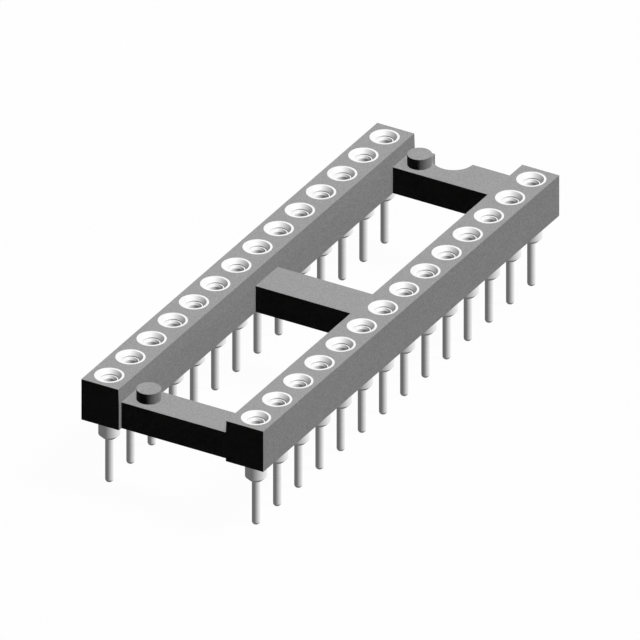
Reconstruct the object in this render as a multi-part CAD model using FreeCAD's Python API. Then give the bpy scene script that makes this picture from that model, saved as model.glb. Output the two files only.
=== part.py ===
import FreeCAD, Part
import math
import os

# Turned-pin dual-in-line IC socket, 28 positions, through-hole.
# Row frame, millimetres: +X along the length, from the notched end at -X to
# the plain end at +X.  +Y across the two rows of pins.  +Z up, out of the
# board, towards the chip.  Z = 0 is the plane of the solder tail tips.

# ---------------------------------------------------------------- pins
PIN_COUNT = 28                 # two rows of 14
PITCH = 2.54                   # along a row
ROW_SPACING = 10.16            # between the two rows
TAIL_TIP_BELOW_TOP = 7.35      # from the top of the rails to the tail tips

# ------------------------------------------------------- moulded insulator
BODY_LENGTH = 35.50
BODY_WIDTH = 12.60
BODY_HEIGHT = 2.80
RAIL_WIDTH = 2.60              # each of the two long rails
RAIL_DRAFT = 0.0375            # the inner walls lean back this far above the bars
BAR_HEIGHT = 1.80              # cross bars, flush with the rails underneath
BARS_X = (                     # the windows between the bars are both 13.80 long
    (-17.75, -15.10),          # notched end bar, flush with the rail ends
    (-1.30, 1.35),             # middle bar
    (15.15, 17.45),            # plain end bar, stands back from the rail ends
)
NOTCH_R = 1.30                 # half-round orientation notch in the -X end bar
NOTCH_Y = -1.00                # the notch sits nearer the row that holds pin 1
POST_R = 0.75                  # round post moulded on each end bar
POST_HEIGHT = 0.70
POST_X = 16.24
POST_Y = -2.50

# -------------------------------------------------------- turned sleeve
HEAD_R = 0.91
HEAD_HEIGHT = 0.50             # sits flush in a counterbore of the rail
BARREL_R = 0.665
BARREL_BELOW_TOP = 4.00        # full barrel radius down to here
BARREL_CHAMFER = 0.25          # 45 degree chamfer below that, then a flat shoulder
TAIL_R = 0.25
TAIL_TIP_FILLET = 0.20
FUNNEL_R = 0.767               # mouth, inside the flat rim
FUNNEL_DEPTH = 0.228
CAVITY_R = 0.545
CAVITY_DEPTH = 3.05            # full-diameter depth of the drilled cavity
DRILL_HALF_ANGLE = 59.0        # degrees, the cone at the bottom of the drilling

# --------------------------------------------------- four-finger spring clip
CLIP_TOP = 0.30                # below the rail top
CLIP_RIM_R = 0.477             # inner edge of the clip's flat rim
CLIP_LEAD_IN = 0.442           # where the lead-in cone meets the bore
CLIP_BORE_R = 0.38
CLIP_BORE_END = 0.95           # bore is round down to here
CLIP_NECK = 1.05               # outside steps in between here and the bore end
CLIP_NECK_R = 0.48
CLIP_PINCH = 2.15              # fingers are closest together here
CLIP_PINCH_IN = 0.19
CLIP_PINCH_OUT = 0.29
CLIP_END = 2.45                # finger tips, slightly flared
CLIP_END_IN = 0.25
CLIP_END_OUT = 0.35
SLOT_WIDTH = 0.14              # two crossing slots part the four fingers

Z_TOP = TAIL_TIP_BELOW_TOP
Z_BODY = Z_TOP - BODY_HEIGHT
Z_BAR = Z_BODY + BAR_HEIGHT
HALF_L = BODY_LENGTH / 2.0
HALF_W = BODY_WIDTH / 2.0
RAIL_IN = HALF_W - RAIL_WIDTH

V = FreeCAD.Vector
UP = V(0, 0, 1)


def box(x0, x1, y0, y1, z0, z1):
    return Part.makeBox(x1 - x0, y1 - y0, z1 - z0, V(x0, y0, z0))


def cylinder(r, x, y, z0, z1):
    return Part.makeCylinder(r, z1 - z0, V(x, y, z0), UP)


def turned(outline):
    """One solid turned from a closed outline of (radius, height) points.

    A third value on a point is the radius of the arc that rounds it.
    """
    edges = []
    n = len(outline)
    ends = []
    for i, point in enumerate(outline):
        here = V(point[0], 0, point[1])
        if len(point) < 3:
            ends.append((here, here, None))
            continue
        before = outline[i - 1]
        after = outline[(i + 1) % n]
        a = V(before[0], 0, before[1]) - here
        b = V(after[0], 0, after[1]) - here
        a.normalize()
        b.normalize()
        half = a.getAngle(b) / 2.0
        back = point[2] / math.tan(half)
        p = here + a * back
        q = here + b * back
        middle = a + b
        middle.normalize()
        centre = here + middle * (point[2] / math.sin(half))
        m = centre - middle * point[2]
        ends.append((p, q, m))
    for i in range(n):
        p, q, m = ends[i]
        if m is not None:
            edges.append(Part.Arc(p, m, q).toShape())
        start = q
        stop = ends[(i + 1) % n][0]
        if start.distanceToPoint(stop) > 1e-9:
            edges.append(Part.LineSegment(start, stop).toShape())
    face = Part.Face(Part.Wire(edges))
    return face.revolve(V(0, 0, 0), UP, 360)


def one_solid(shape):
    """The single closed solid in a shape, with split faces joined again."""
    shape = shape.removeSplitter()
    if len(shape.Solids) != 1:
        raise ValueError("expected one solid, found %d" % len(shape.Solids))
    solid = shape.Solids[0]
    if not solid.isValid() or solid.Volume <= 0:
        raise ValueError("solid is not sound")
    return solid


def pin_places():
    """(number, x, y) of every position, counted anticlockwise from the notch seen from above."""
    half = PIN_COUNT // 2
    places = []
    for i in range(PIN_COUNT):
        if i < half:
            places.append((i + 1, (i - (half - 1) / 2.0) * PITCH, -ROW_SPACING / 2.0))
        else:
            j = i - half
            places.append((i + 1, ((half - 1) / 2.0 - j) * PITCH, ROW_SPACING / 2.0))
    return places


def rail(side):
    """One long rail; its inner wall leans back above the level of the bars."""
    outline = [
        (HALF_W, Z_BODY),
        (HALF_W, Z_TOP),
        (RAIL_IN + RAIL_DRAFT, Z_TOP),
        (RAIL_IN, Z_BAR),
        (RAIL_IN, Z_BODY),
    ]
    corners = [V(-HALF_L, side * y, z) for y, z in outline]
    face = Part.Face(Part.makePolygon(corners + corners[:1]))
    return face.extrude(V(BODY_LENGTH, 0, 0))


def insulator_frame():
    """The one-piece moulding: two rails, three cross bars and two posts."""
    rails = [rail(-1), rail(1)]
    # the bars run a little way into the rails so that they fuse as one moulding
    grip = 0.5
    bars = [box(x0, x1, -RAIL_IN - grip, RAIL_IN + grip, Z_BODY, Z_BAR) for x0, x1 in BARS_X]
    posts = [
        cylinder(POST_R, -POST_X, POST_Y, Z_BAR - 0.3, Z_BAR + POST_HEIGHT),
        cylinder(POST_R, POST_X, POST_Y, Z_BAR - 0.3, Z_BAR + POST_HEIGHT),
    ]
    body = rails[0].fuse([rails[1]] + bars + posts)
    cuts = [cylinder(NOTCH_R, -HALF_L, NOTCH_Y, Z_BODY - 1.0, Z_BAR + 1.0)]
    for _, x, y in pin_places():
        cuts.append(cylinder(BARREL_R, x, y, Z_BODY - 1.0, Z_TOP + 1.0))
        cuts.append(cylinder(HEAD_R, x, y, Z_TOP - HEAD_HEIGHT, Z_TOP + 1.0))
    return one_solid(body.cut(cuts))


def pin_sleeve():
    """Turned sleeve with its solder tail, on the Z axis."""
    cavity_floor = Z_TOP - CAVITY_DEPTH
    drill_tip = cavity_floor - CAVITY_R / math.tan(math.radians(DRILL_HALF_ANGLE))
    barrel_end = Z_TOP - BARREL_BELOW_TOP
    shoulder = barrel_end - BARREL_CHAMFER
    return one_solid(turned([
        (0.0, 0.0),
        (TAIL_R, 0.0, TAIL_TIP_FILLET),
        (TAIL_R, shoulder),
        (BARREL_R - BARREL_CHAMFER, shoulder),
        (BARREL_R, barrel_end),
        (BARREL_R, Z_TOP - HEAD_HEIGHT),
        (HEAD_R, Z_TOP - HEAD_HEIGHT),
        (HEAD_R, Z_TOP),
        (FUNNEL_R, Z_TOP),
        (CAVITY_R, Z_TOP - FUNNEL_DEPTH),
        (CAVITY_R, cavity_floor),
        (0.0, drill_tip),
    ]))


def contact_clip():
    """Spring clip pressed into the sleeve: a rim, a lead-in and four fingers."""
    ring = turned([
        (CLIP_RIM_R, Z_TOP - CLIP_TOP),
        (CLIP_BORE_R, Z_TOP - CLIP_LEAD_IN),
        (CLIP_BORE_R, Z_TOP - CLIP_BORE_END),
        (CLIP_PINCH_IN, Z_TOP - CLIP_PINCH),
        (CLIP_END_IN, Z_TOP - CLIP_END),
        (CLIP_END_OUT, Z_TOP - CLIP_END),
        (CLIP_PINCH_OUT, Z_TOP - CLIP_PINCH),
        (CLIP_NECK_R, Z_TOP - CLIP_NECK),
        (CAVITY_R, Z_TOP - CLIP_BORE_END),
        (CAVITY_R, Z_TOP - CLIP_TOP),
    ])
    w = SLOT_WIDTH / 2.0
    low = Z_TOP - CLIP_END - 1.0
    high = Z_TOP - CLIP_NECK
    slots = [box(-w, w, -1.0, 1.0, low, high), box(-1.0, 1.0, -w, w, low, high)]
    # the slots stand at 45 degrees to the rows
    for slot in slots:
        slot.rotate(V(0, 0, 0), UP, 45)
    return one_solid(ring.cut(slots))


def main():
    os.makedirs("parts", exist_ok=True)
    made = {"insulator_frame": insulator_frame()}
    sleeve = pin_sleeve()
    clip = contact_clip()
    for number, x, y in pin_places():
        for name, shape in (("pin_sleeve", sleeve), ("contact_clip", clip)):
            placed = shape.copy()
            placed.translate(V(x, y, 0))
            made["%s_%02d" % (name, number)] = placed
    for name, shape in made.items():
        shape.exportStep(os.path.join("parts", name + ".step"))
    for name in ("insulator_frame", "pin_sleeve_01", "contact_clip_01"):
        b = made[name].BoundBox
        print("%s volume %.4f mm3, X %.3f..%.3f, Y %.3f..%.3f, Z %.3f..%.3f" % (
            name, made[name].Volume, b.XMin, b.XMax, b.YMin, b.YMax, b.ZMin, b.ZMax))
    print("%d nodes" % len(made))


main()
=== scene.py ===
import math
import bpy
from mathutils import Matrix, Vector

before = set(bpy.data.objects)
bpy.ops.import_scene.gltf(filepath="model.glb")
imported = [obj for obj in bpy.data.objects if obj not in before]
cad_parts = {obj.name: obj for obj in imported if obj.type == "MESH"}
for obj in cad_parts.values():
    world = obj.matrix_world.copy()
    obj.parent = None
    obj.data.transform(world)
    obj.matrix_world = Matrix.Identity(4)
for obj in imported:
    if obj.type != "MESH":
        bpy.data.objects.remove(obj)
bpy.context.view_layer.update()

scene = bpy.context.scene
MM = 0.001

# ------------------------------------------------------------------ helpers


class Tree:
    """Small helper to lay out a node tree."""

    def __init__(self, tree):
        self.t = tree
        self.t.nodes.clear()

    def add(self, kind, **inputs):
        n = self.t.nodes.new(kind)
        for key, value in inputs.items():
            setattr(n, key, value)
        return n

    def put(self, node, socket, value):
        if isinstance(value, bpy.types.NodeSocket):
            self.t.links.new(value, node.inputs[socket])
        else:
            node.inputs[socket].default_value = value

    def math(self, op, a, b=None, c=None, clamp=False):
        n = self.add("ShaderNodeMath", operation=op, use_clamp=clamp)
        for i, v in enumerate((a, b, c)):
            if v is not None:
                self.put(n, i, v)
        return n.outputs[0]

    def vmath(self, op, a, b=None):
        n = self.add("ShaderNodeVectorMath", operation=op)
        self.put(n, 0, a)
        if b is not None:
            self.put(n, 1, b)
        return n.outputs["Vector"]

    def rng(self, value, a, b, lo, hi):
        n = self.add("ShaderNodeMapRange")
        for s, v in (("Value", value), ("From Min", a), ("From Max", b), ("To Min", lo), ("To Max", hi)):
            self.put(n, s, v)
        return n.outputs["Result"]

    def noise(self, vector, scale, detail=2.0, rough=0.5):
        n = self.add("ShaderNodeTexNoise")
        self.put(n, "Vector", vector)
        self.put(n, "Scale", scale)
        self.put(n, "Detail", detail)
        self.put(n, "Roughness", rough)
        return n.outputs["Fac"]

    def mix(self, fac, a, b):
        n = self.add("ShaderNodeMix", data_type="RGBA")
        self.put(n, "Factor", fac)
        self.put(n, 6, a)
        self.put(n, 7, b)
        return n.outputs[2]

    def bump(self, height, distance, strength=1.0, normal=None):
        n = self.add("ShaderNodeBump")
        self.put(n, "Height", height)
        self.put(n, "Distance", distance)
        self.put(n, "Strength", strength)
        if normal is not None:
            self.put(n, "Normal", normal)
        return n.outputs["Normal"]


def material(name):
    m = bpy.data.materials.new(name)
    m.use_nodes = True
    return m, Tree(m.node_tree)


def grey(v, a=1.0):
    return (v, v, v, a)


# ---------------------------------------------------------------- materials


def make_plastic():
    """Glass-filled resin, moulded with a fine matt texture."""
    m, t = material("insulator_moulded")
    co = t.add("ShaderNodeTexCoord").outputs["Object"]
    flow = t.noise(t.vmath("MULTIPLY", co, (110.0, 420.0, 420.0)), 1.0, 3.0, 0.55)     # drawn out along the rails
    mottle = t.noise(co, 1500.0, 2.0, 0.5)
    grain = t.noise(co, 12000.0, 3.0, 0.75)                                             # mould texture, under 0.1 mm
    fine = t.noise(co, 48000.0, 2.0, 0.6)
    fibre = t.noise(t.vmath("MULTIPLY", co, (7000.0, 42000.0, 42000.0)), 1.0, 1.0, 0.5)
    fleck = t.rng(fibre, 0.66, 0.78, 0.0, 1.0)                                          # glass fibre just under the skin
    tone = t.math("MULTIPLY_ADD", t.math("SUBTRACT", flow, 0.5), 0.030,
                  t.math("MULTIPLY_ADD", t.math("SUBTRACT", mottle, 0.5), 0.022,
                         t.math("MULTIPLY", t.math("SUBTRACT", grain, 0.5), 0.420)))
    tone = t.math("MULTIPLY_ADD", t.math("SUBTRACT", fine, 0.5), 0.180, tone)
    tone = t.math("MULTIPLY_ADD", fleck, 0.045, tone)
    fac = t.rng(tone, -0.20, 0.20, 0.0, 1.0)
    colour = t.mix(fac, grey(0.120), grey(0.533))
    rough = t.math("MULTIPLY_ADD", grain, -0.16, t.math("MULTIPLY_ADD", mottle, 0.10, 0.60), clamp=True)
    rough = t.math("MULTIPLY_ADD", fleck, -0.10, rough, clamp=True)
    height = t.math("MULTIPLY_ADD", fine, 0.30, t.math("MULTIPLY_ADD", mottle, 0.6, t.math("MULTIPLY", grain, 0.9)))
    p = t.add("ShaderNodeBsdfPrincipled")
    t.put(p, "Base Color", colour)
    t.put(p, "Roughness", rough)
    t.put(p, "IOR", 1.47)
    t.put(p, "Specular IOR Level", 0.05)
    t.put(p, "Normal", t.bump(height, 0.000005, 0.8))
    out = t.add("ShaderNodeOutputMaterial")
    t.put(out, "Surface", p.outputs[0])
    return m


def make_metal(name, tone, rough_mid, turned):
    """Tin-plated metal. turned: fine lathe rings run round the pin's own axis;
    otherwise the faint lengthwise lines of rolled strip."""
    m, t = material(name)
    co = t.add("ShaderNodeTexCoord").outputs["Object"]
    sep = t.add("ShaderNodeSeparateXYZ")
    t.put(sep, 0, co)
    x, y, z = sep.outputs
    # distance from the nearest pin axis: rows at y = +-5.08 mm, pitch 2.54 mm
    along = t.math("SUBTRACT", t.math("WRAP", x, 2.54 * MM, 0.0), 1.27 * MM)
    across = t.math("SUBTRACT", t.math("ABSOLUTE", y), 5.08 * MM)
    r = t.math("SQRT", t.math("ADD", t.math("MULTIPLY", along, along), t.math("MULTIPLY", across, across)))
    # one coordinate that runs along the turned profile: z on the walls, r on the flats and cones
    nsep = t.add("ShaderNodeSeparateXYZ")
    t.put(nsep, 0, t.add("ShaderNodeNewGeometry").outputs["True Normal"])
    flat = t.math("GREATER_THAN", t.math("ABSOLUTE", nsep.outputs["Z"]), 0.30)
    profile = t.math("ADD", t.math("MULTIPLY", r, flat), t.math("MULTIPLY", z, t.math("SUBTRACT", 1.0, flat)))
    pin = t.math("ADD", t.math("FLOOR", t.math("DIVIDE", x, 2.54 * MM)), t.math("MULTIPLY", t.math("SIGN", y), 7.3))
    marks = t.add("ShaderNodeCombineXYZ")
    if turned:
        t.put(marks, "X", t.math("MULTIPLY", profile, 26000.0))
        t.put(marks, "Y", t.math("MULTIPLY", pin, 3.7))                                 # each pin has its own marks
        t.put(marks, "Z", t.math("MULTIPLY", flat, 11.0))
    else:
        t.put(marks, "X", t.math("MULTIPLY", t.math("ARCTAN2", across, along), 9.0))
        t.put(marks, "Y", t.math("MULTIPLY", pin, 3.7))
        t.put(marks, "Z", t.math("MULTIPLY", z, 1500.0))
    lines = t.noise(marks.outputs[0], 1.0, 3.0, 0.65)
    cloud = t.noise(co, 1300.0, 2.0, 0.5)                                               # uneven plating
    grain = t.noise(co, 26000.0, 2.0, 0.6)                                              # matt tin crystals
    tint = t.math("MULTIPLY_ADD", t.math("SUBTRACT", lines, 0.5), 0.22,
                  t.math("MULTIPLY_ADD", t.math("SUBTRACT", cloud, 0.5), 0.05,
                         t.math("MULTIPLY", t.math("SUBTRACT", grain, 0.5), 0.12)))
    fac = t.rng(tint, -0.12, 0.12, 0.0, 1.0)
    colour = t.mix(fac, grey(tone - 0.12), grey(tone + 0.12))
    rough = t.math("MULTIPLY_ADD", cloud, 0.06, t.math("MULTIPLY_ADD", lines, 0.08, rough_mid - 0.07))
    height = t.math("MULTIPLY_ADD", grain, 0.25, lines)
    p = t.add("ShaderNodeBsdfPrincipled")
    t.put(p, "Base Color", colour)
    t.put(p, "Metallic", 1.0)
    t.put(p, "Roughness", rough)
    t.put(p, "Normal", t.bump(height, 0.0000012 if turned else 0.0000008, 0.8))
    out = t.add("ShaderNodeOutputMaterial")
    t.put(out, "Surface", p.outputs[0])
    return m


plastic = make_plastic()
sleeve_metal = make_metal("sleeve_tin", 0.86, 0.13, True)
clip_metal = make_metal("clip_tin", 0.85, 0.13, False)

for name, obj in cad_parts.items():
    mat = plastic if name == "insulator_frame" else clip_metal if name.startswith("contact_clip") else sleeve_metal
    obj.data.materials.clear()
    obj.data.materials.append(mat)
    obj.visible_diffuse = False      # no soft bounce between faces, as in flat studio light
    obj.visible_glossy = False

# ------------------------------------------------------- floor and backdrop


def emission(t, tone, strength):
    e = t.add("ShaderNodeEmission")
    t.put(e, "Color", grey(tone))
    t.put(e, "Strength", strength)
    return e


def only_camera(obj):
    """Seen by the camera, but throws no light or reflection onto the socket."""
    obj.visible_diffuse = False
    obj.visible_glossy = False
    obj.visible_transmission = False
    obj.visible_volume_scatter = False


def make_floor():
    m, t = material("floor")
    d = t.add("ShaderNodeBsdfDiffuse")
    t.put(d, "Color", grey(0.12))
    s = t.add("ShaderNodeAddShader")
    t.put(s, 0, d.outputs[0])
    t.put(s, 1, emission(t, 1.0, 0.866).outputs[0])
    # one-sided, so that the socket can be looked at from underneath
    side = t.add("ShaderNodeMixShader")
    t.put(side, 0, t.add("ShaderNodeNewGeometry").outputs["Backfacing"])
    t.put(side, 1, s.outputs[0])
    t.put(side, 2, t.add("ShaderNodeBsdfTransparent").outputs[0])
    out = t.add("ShaderNodeOutputMaterial")
    t.put(out, "Surface", side.outputs[0])
    bpy.ops.mesh.primitive_plane_add(size=3.0, location=(0, 0, 0))
    floor = bpy.context.object
    floor.name = "floor"
    floor.data.materials.append(m)
    only_camera(floor)


def make_backdrop():
    m, t = material("backdrop")
    out = t.add("ShaderNodeOutputMaterial")
    t.put(out, "Surface", emission(t, 1.0, 0.985).outputs[0])
    m.cycles.emission_sampling = "NONE"
    bpy.ops.mesh.primitive_uv_sphere_add(segments=48, ring_count=24, radius=1.3)
    dome = bpy.context.object
    dome.name = "backdrop"
    dome.data.materials.append(m)
    only_camera(dome)
    dome.visible_shadow = False


make_floor()
make_backdrop()

# ------------------------------------------------------------------- lights


def sun(name, direction, energy, angle, shadow):
    data = bpy.data.lights.new(name, "SUN")
    data.energy = energy
    data.angle = math.radians(angle)
    data.use_shadow = shadow
    o = bpy.data.objects.new(name, data)
    d = Vector(direction).normalized()
    o.rotation_mode = "QUATERNION"
    o.rotation_quaternion = d.to_track_quat("Z", "Y")
    o.location = d * 0.3
    scene.collection.objects.link(o)
    return o


KEY = (-0.20, 0.479, 0.878)
sun("key_open", KEY, 3.36, 10.0, False)
sun("key_soft", KEY, 0.40, 16.0, True)
for fill in (
    sun("back_fill", (-0.866, -0.50, -0.06), 1.1, 6.0, False),      # square to the camera's side, lights only what it doesn't see
    sun("front_fill", (0.90, -0.30, 0.05), 0.008, 10.0, False),
    sun("floor_bounce", (0.0, 0.0, -1.0), 1.0, 6.0, False),
):
    fill.visible_glossy = False

# The surroundings that the metal mirrors: a soft bank of light over the key
# side that fades to grey on the other side and below.  They light nothing else.
VIEW_SIDE = (0.75, 0.4330127, 0.5)
BANK = (-0.104, 0.60, 0.79)
world = bpy.data.worlds.new("studio")
scene.world = world
world.use_nodes = True
world.cycles_visibility.diffuse = False
wt = Tree(world.node_tree)
wco = wt.add("ShaderNodeTexCoord").outputs["Generated"]
half = wt.vmath("NORMALIZE", wt.vmath("ADD", wco, VIEW_SIDE))
dot = wt.add("ShaderNodeVectorMath", operation="DOT_PRODUCT")
wt.put(dot, 0, half)
wt.put(dot, 1, BANK)
lit = wt.math("MAXIMUM", dot.outputs["Value"], 0.0)
level = wt.math("MULTIPLY_ADD", wt.math("MULTIPLY_ADD", lit, 0.908, 0.695), lit, 0.165)
level = wt.math("MINIMUM", level, 1.12)
bg = wt.add("ShaderNodeBackground")
wt.put(bg, "Color", grey(1.0))
wt.put(bg, "Strength", level)
wo = wt.add("ShaderNodeOutputWorld")
wt.put(wo, "Surface", bg.outputs[0])

# ------------------------------------------------------------------- camera

AIM = Vector((0.007, -0.016, 4.384)) * MM
az, el = math.radians(120.0), math.radians(30.0)
back = Vector((math.sin(az) * math.cos(el), -math.cos(az) * math.cos(el), math.sin(el)))
cam_data = bpy.data.cameras.new("camera")
cam_data.type = "ORTHO"
cam_data.ortho_scale = 640 / 16.675 * MM
cam_data.clip_start = 0.01
cam_data.clip_end = 2.0
cam = bpy.data.objects.new("camera", cam_data)
cam.rotation_mode = "QUATERNION"
cam.location = AIM + back * 0.2
cam.rotation_quaternion = (-back).to_track_quat("-Z", "Y")
scene.collection.objects.link(cam)
scene.camera = cam

scene.view_settings.view_transform = "Standard"
scene.view_settings.look = "None"
